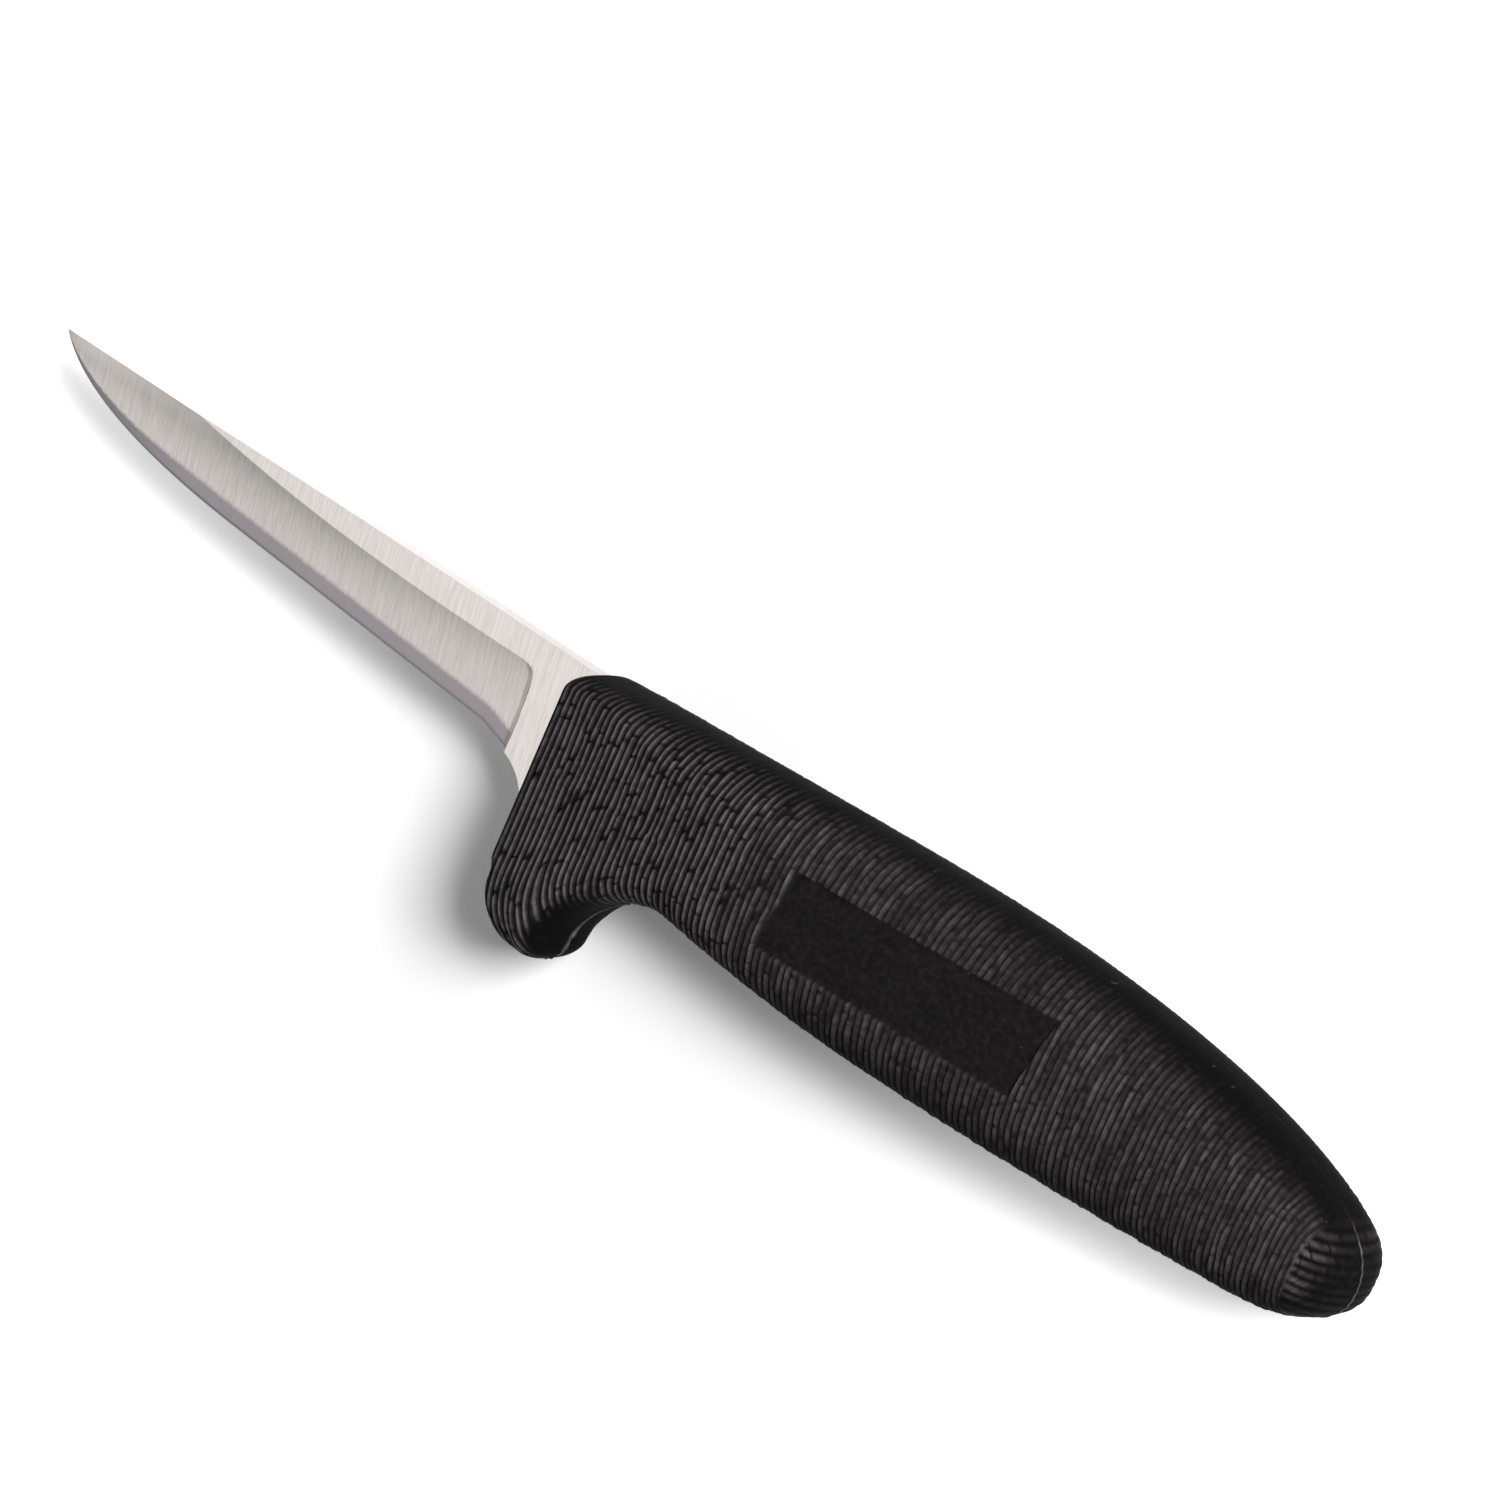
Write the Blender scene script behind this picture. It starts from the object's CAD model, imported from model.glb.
"""Vent knife: the ground blade, the corded handle and a pale stage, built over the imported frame."""
import math
from types import SimpleNamespace

import bpy
import numpy as np
from mathutils import Matrix, Vector


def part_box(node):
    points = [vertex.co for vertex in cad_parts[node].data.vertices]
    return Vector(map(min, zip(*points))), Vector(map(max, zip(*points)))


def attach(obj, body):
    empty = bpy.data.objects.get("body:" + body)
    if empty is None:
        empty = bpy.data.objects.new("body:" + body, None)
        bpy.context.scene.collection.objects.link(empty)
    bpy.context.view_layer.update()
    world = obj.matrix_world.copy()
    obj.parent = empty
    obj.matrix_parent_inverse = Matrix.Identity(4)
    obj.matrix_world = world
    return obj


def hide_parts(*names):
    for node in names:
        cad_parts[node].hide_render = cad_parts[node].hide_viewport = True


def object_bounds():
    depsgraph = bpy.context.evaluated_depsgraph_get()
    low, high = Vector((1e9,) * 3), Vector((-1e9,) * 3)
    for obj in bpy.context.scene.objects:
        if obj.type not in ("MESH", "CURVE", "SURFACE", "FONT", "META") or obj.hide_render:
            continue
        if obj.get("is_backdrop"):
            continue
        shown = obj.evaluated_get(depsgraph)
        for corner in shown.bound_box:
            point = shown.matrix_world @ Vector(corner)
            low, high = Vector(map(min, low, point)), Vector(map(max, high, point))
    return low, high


bl_info = {
    "name": "Vent knife",
    "version": (1, 0, 0),
    "blender": (4, 5, 0),
    "location": "3D View > Sidebar > Knife",
    "description": "Models a vent knife with a hollow-ground blade and a corded handle",
    "category": "Add Mesh",
}

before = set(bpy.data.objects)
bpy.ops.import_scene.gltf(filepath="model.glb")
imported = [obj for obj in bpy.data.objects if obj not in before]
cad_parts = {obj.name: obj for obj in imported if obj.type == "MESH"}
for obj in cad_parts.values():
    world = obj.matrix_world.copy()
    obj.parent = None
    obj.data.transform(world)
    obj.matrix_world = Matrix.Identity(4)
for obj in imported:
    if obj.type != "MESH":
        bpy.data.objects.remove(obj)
CAD_LOW, CAD_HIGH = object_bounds()
HANDLE_LOW, HANDLE_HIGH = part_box("handle")

# Outlines are in millimetres from the spine at the handle's front face, in the blade's mid-plane
MM = 0.001
TINY = 1e-6

# Blade outline, with distances forward from the handle and depths down from the spine
BLADE_LENGTH = 82.5
BLADE_HALF = 1.0
SPINE_CROWN = 0.2
ROOT_DEPTH = 21.4
ROOT_NECK = 1.7
ROOT_BURIED = 0.6
FILLET_RADIUS = 7.0
FILLET_DEPTH = 19.8
FILLET_SWEEP = math.radians(75)
HEEL = (11.4, 11.75)
BELLY = (52.0, 8.75)
BELLY_PULL = (76.5, 6.8)

# Hollow grind and cutting bevel
PLUNGE = 6.6
PLUNGE_RADIUS = 1.2
PLUNGE_CORNER = 1.4
GRIND_TOP = 3.1
GRIND_RUNOUT = 59.5
GRIND_RISE = 2.6
WHEEL_RADIUS = 32.0
BEVEL_WIDTH = 1.95
BEVEL_SHARE = 0.4
BEVEL_TAPER = (54.0, 78.0)
BEVEL_TAPER_LOSS = 0.62
SHOULDER_HALF = 0.22
EDGE_HALF = 0.05

# Marks of the parts of the blade's skin, and where its finish changes towards the tip, in metres
ON_SPINE = -1.0
ON_FLAT = 0.0
IN_HOLLOW = 1.0
ON_SHOULDER = 1.5
POLISH_RUN = (0.050, 0.064)
POLISH_DEPTH = (-0.0002, 0.0018)
EDGE_DARK_RUN = (0.03, 0.07)
TIP_DARK_RUN = (0.058, 0.078)
EDGE_STEEL = (0.15, 0.142, 0.147)
SPINE_STEEL = (0.80, 0.76, 0.74)

# Tang inside the handle
TANG_LENGTH = 84.0
TANG_HALF = 0.9
TANG_TOP = 3.6
TANG_HEIGHT = 12.0
TANG_END_DEPTH = 8.6
TANG_END_HEIGHT = 9.0

# Handle outline in side view
HANDLE_LENGTH = 111.6
CREST = 58.0
CREST_RISE = 3.0
CREST_POWER = 1.5
BUTT_DEPTH = 11.5
BUTT_FULLNESS = 2.15
BUTT_UNDER_FULLNESS = 2.6
BUTT_UNDER_RUN = 12.0
LOW = 50.0
LOW_DEPTH = 20.2
LOW_FRONT_RISE = 2.2
LOW_REAR_RISE = 3.0
GUARD_DEPTH = 30.6
GUARD_THICKNESS = 9.8
TOE_RUN = 6.2
TOE_RISE = 7.2
HEEL_RUN = 3.2
HEEL_RISE = 3.0
FINGER_RUN = 11.4
FINGER_FULLNESS = 1.85
REST_END = GUARD_THICKNESS + FINGER_RUN

# Handle thickness and the rounding of its cross-section
FRONT_WIDTH = 12.2
FULL_WIDTH = 17.4
FULL_WIDTH_AT = 56.0
BUTT_WIDTH = 15.2
BUTT_END_RUN = 4.2
FRONT_TOP_ROUND = 1.7
GUARD_ROUND_AT = (0.0, 2.0, 6.0, 9.8, 10.6, 16.0, 24.0)
GUARD_ROUND = (1.4, 3.2, 5.8, 4.2, 2.4, 1.4, 2.2)
FULL_ROUND = 10.5
ROUNDING_RUN = 42.0
ROUNDING_POWER = 2.5
ROUNDING_ROOM = 0.47
ROUNDING_BY_DISTANCE = 9.0
ROUNDING_BLEND = (2.0, 8.0)
FRONT_EDGE = 0.9

# Smooth plate on the handle's upper side
PLATE_AT = 53.9
PLATE_DEPTH = 7.9
PLATE_LENGTH = 35.2
PLATE_HEIGHT = 9.7
PLATE_RAKE = 1.7
PLATE_TILT = 0.05
PLATE_END = 0.12
PLATE_WALLS = (0.012, 0.018)
PLATE_SNAP = (21.0, 30.0)
PLATE_WEAR = 0.06

# Cords, and the centre that the butt's rows fan out from
FAN_X = 107.6
FAN_Y = -9.6
CORD_PITCH_AT = (0.0, 23.0, 50.0, 80.0, 96.0, 107.6)
CORD_PITCH = (0.80, 0.86, 0.92, 0.81, 0.75, 0.72)
HOOK_AT = (0.0, 1.0, 3.0, 5.0, 8.0, 10.0, 13.0)
HOOK = (0.0, 3.2, 4.2, 3.8, 2.3, 1.2, 0.0)
HOOK_SHARE = (0.42, 0.98)
CORD_ROUND = 1.8
CORD_MEAN = 0.64
CORD_TOP = 1.2
CORD_BREAK = 0.7
CORD_SWELL = 0.25
END_CORD_PITCH = 0.98
END_CORDS = 41
END_RELIEF = 0.3

# Wear of the cords, along the handle and from the middle of its side to the rim
WEAR_FROM = 0.42
WEAR_RUN = 0.66
TONE_AT = (0.0, 28.0, 40.0, 66.0, 76.0, 106.0)
TONE = (1.26, 1.12, 0.64, 0.42, 0.58, 0.52)
FRONT_FADE = (24.0, 42.0)
FRONT_CROWN = 2.8
REAR_CROWN = 1.4
REAR_WEAR = 0.8
HAZE = 0.09
HAZE_RUN = (22.0, 44.0)
SPINE_FADE = (0.58, 0.4)
SPINE_FADE_AT = (62.0, 96.0)
SPINE_FADE_RUN = 0.42
SEAM_WEAR = 0.85
SPECK = (0.11, 0.105, 0.1)

# How finely the handle's skin and its curves are divided
FAN_ROWS = 121
QUARTER_STEPS = 36
COLUMN_GAP = 0.009
ROWS_PER_CORD = 4
WANDER_RUN = 3
OUTLINE_POINTS = 240
PHASE_POINTS = 4000
POINTS_AT_ONCE = 4000

# Floor in metres, and where it glows more: axis, side, start, end and white added
FLOOR_RADIUS = 4.0
FLOOR_GAP = 0.00002
FLOOR_GLOWS = (
    ("X", -1, 0.020, 0.105, 0.46),
    ("X", 1, 0.005, 0.085, 0.38),
    ("Y", -1, 0.030, 0.120, 0.1),
)
HORIZON = 0.95

# Camera: tilt from the blade's normal, turn about it, and place to the right, up and back
CAMERA_TILT = math.radians(34.5)
CAMERA_TURN = math.radians(28.0076)
CAMERA_PLACE = (15.927, -8.257, 900.0)

DATUM = np.array([
    HANDLE_LOW.x,
    HANDLE_HIGH.y - CREST_RISE * MM,
    (HANDLE_LOW.z + HANDLE_HIGH.z) / 2,
])


# Curves that the outline is made of

def mix(a, b, share):
    """Value at a share of the way from one value to another."""
    return a + (b - a) * share


def ease(x, start, end):
    """Soft step from 0 at the start to 1 at the end."""
    share = np.clip((x - start) / (end - start), 0, 1)
    return share * share * (3 - 2 * share)


def quarter(share, power):
    """Quarter of a superellipse, from 1 at share 0 to 0 at share 1."""
    return (1 - np.clip(share, 0, 1) ** power) ** (1 / power)


def on_seam(share):
    """True on the parting line."""
    return share > 1 - TINY


def handle_top(x):
    """Height of the handle's upper outline."""
    climb = CREST_RISE * (1 - np.clip(1 - x / CREST, 0, 1) ** CREST_POWER)
    fall = mix(-BUTT_DEPTH, CREST_RISE, quarter((x - CREST) / (HANDLE_LENGTH - CREST), BUTT_FULLNESS))
    return np.where(x < CREST, climb, fall)


def grip_under(x):
    """Height of the grip's lower outline, behind the finger rest."""
    front = LOW_FRONT_RISE * ((LOW - x) / (LOW - REST_END)) ** 2
    rear = LOW_REAR_RISE * ((x - LOW) / (HANDLE_LENGTH - LOW)) ** 2
    return -LOW_DEPTH + np.where(x < LOW, front, rear)


def handle_under(x):
    """Height of the handle's lower outline."""
    heel_start = GUARD_THICKNESS - HEEL_RUN
    toe = -GUARD_DEPTH + TOE_RISE * (1 - quarter(1 - x / TOE_RUN, BUTT_FULLNESS))
    heel = -GUARD_DEPTH + HEEL_RISE * (1 - quarter((x - heel_start) / HEEL_RUN, 2))
    rest_share = quarter((REST_END - x) / FINGER_RUN, FINGER_FULLNESS)
    rest = mix(-GUARD_DEPTH + HEEL_RISE, grip_under(REST_END), rest_share)
    butt_share = quarter((x - HANDLE_LENGTH + BUTT_UNDER_RUN) / BUTT_UNDER_RUN, BUTT_UNDER_FULLNESS)
    grip = mix(-BUTT_DEPTH, grip_under(x), butt_share)
    places = [x < TOE_RUN, x < heel_start, x < GUARD_THICKNESS, x < REST_END]
    return np.select(places, [toe, -GUARD_DEPTH + 0 * x, heel, rest], grip)


def handle_half(x):
    """Half thickness of the handle in the middle of its side."""
    front = mix(FULL_WIDTH, FRONT_WIDTH, (1 - x / FULL_WIDTH_AT) ** 2) / 2
    back = ((x - FULL_WIDTH_AT) / (HANDLE_LENGTH - FULL_WIDTH_AT)) ** 2
    end = quarter((x - HANDLE_LENGTH + BUTT_END_RUN) / BUTT_END_RUN, BUTT_FULLNESS)
    return np.where(x < FULL_WIDTH_AT, front, mix(FULL_WIDTH, BUTT_WIDTH, back) / 2 * end)


def front_inset(x):
    """How far the rounded front edge takes the skin in."""
    return FRONT_EDGE - np.sqrt(FRONT_EDGE ** 2 - np.clip(FRONT_EDGE - x, 0, FRONT_EDGE) ** 2)


def under_round(x):
    """Reach of the rounding over the lower outline."""
    room = np.maximum(ROUNDING_ROOM * (handle_top(x) - handle_under(x)), TINY)
    near = np.interp(x, GUARD_ROUND_AT, GUARD_ROUND)
    return np.minimum(mix(near, FULL_ROUND, ease(x, 0, ROUNDING_RUN)), room)


def under_share(x, y, inset):
    """Share of the lower rounding below a point, by distance at the guard and by height behind it."""
    height = (y - handle_under(x) - inset) / under_round(x)
    corners = [TOE_RUN, GUARD_THICKNESS - HEEL_RUN, GUARD_THICKNESS, GUARD_THICKNESS + 0.02]
    far = REST_END + ROUNDING_BY_DISTANCE
    line_x = np.unique(np.concatenate([np.linspace(0, far, OUTLINE_POINTS), corners]))
    line = np.stack([line_x, handle_under(line_x)], 1)
    start, step = line[:-1], np.diff(line, axis=0)
    reach = under_round((line_x[1:] + line_x[:-1]) / 2)
    close = np.flatnonzero(np.ravel(x < far))
    for part in np.array_split(close, max(1, len(close) // POINTS_AT_ONCE)):
        points = np.stack([np.ravel(x)[part], np.ravel(y)[part]], 1)
        away = points[:, None] - start
        along = np.clip((away * step).sum(2) / (step ** 2).sum(1), 0, 1)
        gap = np.linalg.norm(away - along[:, :, None] * step, axis=2)
        gap = np.maximum(gap - np.ravel(inset)[part][:, None], 0)
        blend = ease(points[:, 0] - REST_END, *ROUNDING_BLEND)
        np.put(height, part, mix((gap / reach).min(1), np.take(height, part), blend))
    return height


def handle_reach(x, y):
    """Half thickness of the handle at a point of its side view."""
    inset = front_inset(x)
    top = handle_top(x) - inset
    room = np.maximum(ROUNDING_ROOM * (top - handle_under(x) - inset), TINY)
    top_round = np.minimum(mix(FRONT_TOP_ROUND, FULL_ROUND, ease(x, 0, ROUNDING_RUN)), room)
    rise = 1 - np.minimum((top - y) / top_round, under_share(x, y, inset))
    reach = (1 - np.clip(rise, 0, 1) ** ROUNDING_POWER) ** (1 / ROUNDING_POWER)
    return np.maximum(handle_half(x) - inset, 0) * reach


def edge_depth(distance):
    """Depth of the blade's lower outline in front of the handle."""
    arc_end = ROOT_NECK + FILLET_RADIUS * (1 - math.cos(FILLET_SWEEP))
    arc_depth = FILLET_DEPTH - FILLET_RADIUS * math.sin(FILLET_SWEEP)
    across = np.clip(ROOT_NECK + FILLET_RADIUS - distance, 0, FILLET_RADIUS)
    arc = FILLET_DEPTH - np.sqrt(FILLET_RADIUS ** 2 - across ** 2)
    slope = mix(arc_depth, HEEL[1], (distance - arc_end) / (HEEL[0] - arc_end))
    straight = mix(HEEL[1], BELLY[1], (distance - HEEL[0]) / (BELLY[0] - HEEL[0]))
    bend = BELLY[0] - 2 * BELLY_PULL[0] + BLADE_LENGTH
    run = 2 * (BELLY_PULL[0] - BELLY[0])
    root = np.sqrt(np.maximum(run ** 2 - 4 * bend * (BELLY[0] - distance), 0))
    share = np.clip((root - run) / (2 * bend), 0, 1)
    belly = (1 - share) ** 2 * BELLY[1] + 2 * share * (1 - share) * BELLY_PULL[1]
    places = [distance < ROOT_NECK, distance < arc_end, distance < HEEL[0], distance < BELLY[0]]
    return np.select(places, [ROOT_DEPTH + 0 * distance, arc, slope, straight], belly)


def spine_height(distance):
    """Height of the spine's slight crown."""
    share = np.clip(distance / BLADE_LENGTH, 0, 1)
    return 4 * share * (1 - share) * SPINE_CROWN


def grind_top(distance):
    """Depth of the hollow's upper line, which runs out at the spine."""
    share = np.maximum(0, distance - PLUNGE) / (GRIND_RUNOUT - PLUNGE)
    return GRIND_TOP * (1 - share ** GRIND_RISE)


def bevel_width(distance):
    """Height of the cutting bevel, which narrows towards the tip."""
    taper = 1 - BEVEL_TAPER_LOSS * ease(distance, *BEVEL_TAPER)
    return np.minimum(BEVEL_WIDTH, BEVEL_SHARE * edge_depth(distance)) * taper


def ground_half(distance, depth):
    """Half thickness of the ground blade at a depth below the spine line."""
    lowest = edge_depth(distance)
    bevel = bevel_width(distance)
    top = grind_top(distance)
    shoulder = mix(EDGE_HALF, SHOULDER_HALF, bevel / BEVEL_WIDTH)
    chord = np.maximum(lowest - bevel - top, TINY)
    share = np.clip((depth - top) / chord, 0, 1)
    hollow = chord ** 2 / (8 * WHEEL_RADIUS)
    ground = mix(BLADE_HALF, shoulder, share) - 4 * hollow * share * (1 - share)
    past = np.clip((depth - lowest + bevel) / np.maximum(bevel, TINY), 0, 1)
    ground = np.where(depth > lowest - bevel, mix(shoulder, EDGE_HALF, past), ground)
    rim_start = PLUNGE + math.sqrt(2 * PLUNGE_RADIUS * BLADE_HALF - BLADE_HALF ** 2)
    corner = np.clip(1 - (depth - top) / PLUNGE_CORNER, 0, 1)
    rim_start = rim_start + PLUNGE_CORNER * (1 - np.sqrt(1 - corner ** 2))
    across = np.clip(rim_start - distance, 0, PLUNGE_RADIUS)
    lift = PLUNGE_RADIUS - np.sqrt(PLUNGE_RADIUS ** 2 - across ** 2)
    return np.minimum(BLADE_HALF, ground + lift)


# Steps of modelling by hand

def read(items, name, width=1):
    """A number or vector of each vertex of a mesh."""
    values = np.empty(width * len(items), np.float32)
    items.foreach_get(name, values)
    return values.reshape(-1, width) if width > 1 else values


def laid_grid(rows, columns):
    """A flat grid as the active object, with the row and column of each of its vertices."""
    bpy.ops.mesh.primitive_grid_add(x_subdivisions=rows - 1, y_subdivisions=columns - 1, size=1)
    piece = bpy.context.active_object
    flat = read(piece.data.vertices, "co", 3) + 0.5
    row = np.rint(flat[:, 0] * (rows - 1)).astype(int)
    column = np.rint(flat[:, 1] * (columns - 1)).astype(int)
    if row.max() != rows - 1 or len(row) != rows * columns:
        raise RuntimeError("the grid has another number of rows than was asked for")
    return piece, row, column


def drape(piece, points):
    """Puts a piece's vertices on points in millimetres from the datum."""
    places = DATUM + np.asarray(points) * MM
    piece.data.vertices.foreach_set("co", places.astype(np.float32).ravel())
    piece.data.update()


def mark(piece, name, values):
    """Keeps one number on each vertex."""
    kept = piece.data.attributes.new(name, "FLOAT", "POINT")
    kept.data.foreach_set("value", np.asarray(values, np.float32))


def pick(*pieces):
    """Selects pieces only and makes the first one active."""
    bpy.ops.object.select_all(action="DESELECT")
    for piece in pieces:
        piece.select_set(True)
    bpy.context.view_layer.objects.active = pieces[0]


def joined(piece, other):
    """Joins another object into a piece, which stays active."""
    pick(piece, other)
    bpy.ops.object.join()
    return piece


def close_skin(piece, threshold):
    """Welds the seams, fills what is open and turns every face outwards."""
    pick(piece)
    bpy.ops.object.mode_set(mode="EDIT")
    bpy.ops.mesh.select_mode(type="EDGE")
    bpy.ops.mesh.select_all(action="SELECT")
    bpy.ops.mesh.remove_doubles(threshold=threshold)
    bpy.ops.mesh.dissolve_degenerate(threshold=threshold)
    bpy.ops.mesh.select_all(action="DESELECT")
    bpy.ops.mesh.select_non_manifold(
        extend=False, use_wire=False, use_boundary=True, use_multi_face=False,
        use_non_contiguous=False, use_verts=False,
    )
    bpy.ops.mesh.edge_face_add()
    bpy.ops.mesh.select_all(action="SELECT")
    bpy.ops.mesh.normals_make_consistent(inside=False)
    bpy.ops.object.mode_set(mode="OBJECT")


def seat(piece, name, node, finish):
    """Names a finished piece, gives it its finish and puts it in the place of its CAD node."""
    piece.name = name
    piece.data.name = name
    piece.data.materials.clear()
    piece.data.materials.append(finish)
    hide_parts(node)
    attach(piece, "root")


def colour4(colour, factor=1.0):
    """A colour, made paler or darker by a factor, with full alpha."""
    return (*(factor * channel for channel in colour), 1.0)


# Shader maths

class Value:
    """An output socket of a node tree that can be used in sums."""

    def __init__(self, tree, socket):
        self.tree = tree
        self.socket = socket

    def sum(self, operation, first, second):
        """A Math node's result."""
        return self.tree.node("ShaderNodeMath", {"operation": operation}, {0: first, 1: second})

    def __add__(self, other):
        return self.sum("ADD", self, other)

    __radd__ = __add__

    def __sub__(self, other):
        return self.sum("SUBTRACT", self, other)

    def __rsub__(self, other):
        return self.sum("SUBTRACT", other, self)

    def __mul__(self, other):
        return self.sum("MULTIPLY", self, other)

    __rmul__ = __mul__


class Tree:
    """A material's or world's node tree, filled through one method."""

    def __init__(self, owner):
        owner.use_nodes = True
        self.nodes = owner.node_tree.nodes
        self.links = owner.node_tree.links
        self.nodes.clear()

    def node(self, kind, settings=None, values=None, output=0):
        """Adds a node, with its settings first, and gives one of its outputs."""
        made = self.nodes.new(kind)
        for name, setting in (settings or {}).items():
            setattr(made, name, setting)
        for name, value in (values or {}).items():
            if isinstance(value, Value):
                self.links.new(value.socket, made.inputs[name])
            else:
                made.inputs[name].default_value = value
        if len(made.outputs) == 0:
            return made
        return Value(self, made.outputs[output])

    def mask(self, value, start, end):
        """0 below start and 1 above end, with a soft step between them."""
        return self.node(
            "ShaderNodeMapRange", {"interpolation_type": "SMOOTHSTEP"},
            {"Value": value, "From Min": start, "From Max": end},
        )

    def blend(self, share, first, second):
        """Colour between two colours."""
        return self.node("ShaderNodeMix", {"data_type": "RGBA"}, {0: share, 6: first, 7: second}, 2)

    def noise(self, scale, turn=0.0, detail=2.0, roughness=0.5):
        """Noise on the object's own coordinates, stretched by a scale for each axis."""
        place = self.node("ShaderNodeTexCoord", output="Object")
        turned = self.node("ShaderNodeMapping", None, {"Vector": place, "Rotation": (0.0, 0.0, turn)})
        stretched = self.node("ShaderNodeVectorMath", {"operation": "MULTIPLY"}, {0: turned, 1: scale})
        return self.node(
            "ShaderNodeTexNoise", None,
            {"Vector": stretched, "Scale": 1.0, "Detail": detail, "Roughness": roughness},
        )

    def place(self, axis):
        """One of the object's own coordinates, in metres."""
        place = self.node("ShaderNodeTexCoord", output="Object")
        return self.node("ShaderNodeSeparateXYZ", None, {"Vector": place}, axis)

    def attribute(self, name):
        """The number that is kept on each vertex under a name."""
        return self.node("ShaderNodeAttribute", {"attribute_name": name}, output="Fac")

    def surface(self, values, grain, strength, depth):
        """Ends a material with a principled surface that the grain roughens."""
        bump = self.node("ShaderNodeBump", None, {"Strength": strength, "Distance": depth, "Height": grain})
        shader = self.node("ShaderNodeBsdfPrincipled", None, {**values, "Normal": bump})
        self.node("ShaderNodeOutputMaterial", None, {"Surface": shader})


def new_finish(name):
    """A new material and its empty node tree."""
    made = bpy.data.materials.new(name)
    return made, Tree(made)


def steel_finish(sizes):
    """Stainless steel brushed across the blade, darker in the hollow, with a stoned bevel."""
    made, tree = new_finish("brushed_blade_steel")
    ground = tree.attribute("ground")
    in_hollow = tree.mask(ground, 0.3, 0.7)
    at_edge = tree.mask(ground, 2.3, 2.9)
    lean = sizes.brush_lean
    coarse = tree.noise((2700.0, 110.0, 110.0), lean, 3.0, 0.6)
    fine = tree.noise((9000.0, 420.0, 420.0), lean, 2.0, 0.6)
    cloud = tree.noise((60.0, 90.0, 60.0), 0.0, 2.0, 0.5)
    streak = coarse * 0.45 + fine * 0.55
    on_bevel = tree.mask(ground + (fine - 0.5) * 0.7, 1.35, 1.75)
    on_spine = tree.mask(ground * -1.0, 0.2, 0.8)
    spread = tree.mask(streak, 0.36, 0.64)
    flat = tree.blend(spread, colour4(sizes.steel, 0.80), colour4(sizes.steel))
    dim = tree.blend(spread, colour4(sizes.hollow, 0.78), colour4(sizes.hollow))
    stoned = tree.blend(spread, colour4(sizes.bevel, 0.92), colour4(sizes.bevel))
    forward = float(DATUM[0]) - tree.place("X")
    down = float(DATUM[1]) - tree.place("Y")
    polished = tree.mask(forward, *POLISH_RUN) * (1 - tree.mask(down, *POLISH_DEPTH))
    dim = tree.blend(polished * 0.7, dim, colour4(sizes.hollow, 1.32))
    shade = tree.blend(in_hollow, flat, dim)
    shade = tree.blend(on_bevel, shade, stoned)
    at_edge = at_edge * (0.75 + 0.25 * tree.mask(forward, *EDGE_DARK_RUN))
    at_edge = at_edge + on_bevel * tree.mask(forward, *TIP_DARK_RUN) * 0.65
    shade = tree.blend(at_edge, shade, colour4(EDGE_STEEL))
    shade = tree.blend(on_spine, shade, colour4(SPINE_STEEL))
    rough = sizes.steel_roughness + (streak - 0.5) * 0.16 + (cloud - 0.5) * 0.06 + on_bevel * 0.08
    steel = {"Base Color": shade, "Metallic": 1.0, "Roughness": rough}
    tree.surface(steel, streak, 0.35, 0.00001)
    return made


def plastic_finish(sizes):
    """Black moulded plastic, greyer on the worn tops of the cords."""
    made, tree = new_finish("black_moulded_plastic")
    cord = tree.attribute("cord")
    grain = tree.noise((5200.0, 5200.0, 5200.0), 0.0, 3.0, 0.6)
    cloud = tree.noise((170.0, 170.0, 170.0), 0.0, 3.0, 0.55)
    speck = tree.mask(tree.noise((900.0, 900.0, 900.0), 0.0, 1.0, 0.5), 0.77, 0.81)
    fleck = tree.noise((1300.0, 1300.0, 1300.0), 0.0, 2.0, 0.6)
    worn = cord * (0.3 + cloud * 0.7 + tree.mask(fleck, 0.3, 0.7) * 0.7)
    worn = worn + tree.mask(fleck, 0.5, 0.8) * 0.028
    shade = tree.blend(worn, colour4(sizes.plastic), colour4(sizes.worn_plastic))
    shade = tree.blend(speck * 0.25, shade, colour4(SPECK))
    rough = sizes.plastic_roughness + (cloud - 0.5) * 0.16 + (grain - 0.5) * 0.12 - worn * 0.05
    plastic = {"Base Color": shade, "Roughness": rough, "IOR": 1.49, "Specular IOR Level": 0.004}
    tree.surface(plastic, grain, 0.25, 0.00004)
    return made


def floor_finish(sizes):
    """Matte white floor that takes shadow, with a glow for the camera and reflections only."""
    made, tree = new_finish("white_studio_floor")
    rays = ("Is Camera Ray", "Is Glossy Ray", "Is Transmission Ray")
    camera, glossy, through = (tree.node("ShaderNodeLightPath", output=ray) for ray in rays)
    seen = tree.node(
        "ShaderNodeMath", {"operation": "MINIMUM"}, {0: camera + glossy + through, 1: 1.0},
    )
    matte = tree.node("ShaderNodeBsdfDiffuse", None, {"Color": colour4(sizes.floor)})
    white = sizes.floor_glow
    for axis, side, start, end, more in FLOOR_GLOWS:
        white = white + more * tree.mask(side * tree.place(axis), start, end)
    glow = tree.node("ShaderNodeEmission", None, {"Color": seen * white, "Strength": 1.0})
    both = tree.node("ShaderNodeAddShader", None, {0: matte, 1: glow})
    tree.node("ShaderNodeOutputMaterial", None, {"Surface": both})
    return made


# Sizes and colours that a user may change

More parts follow.
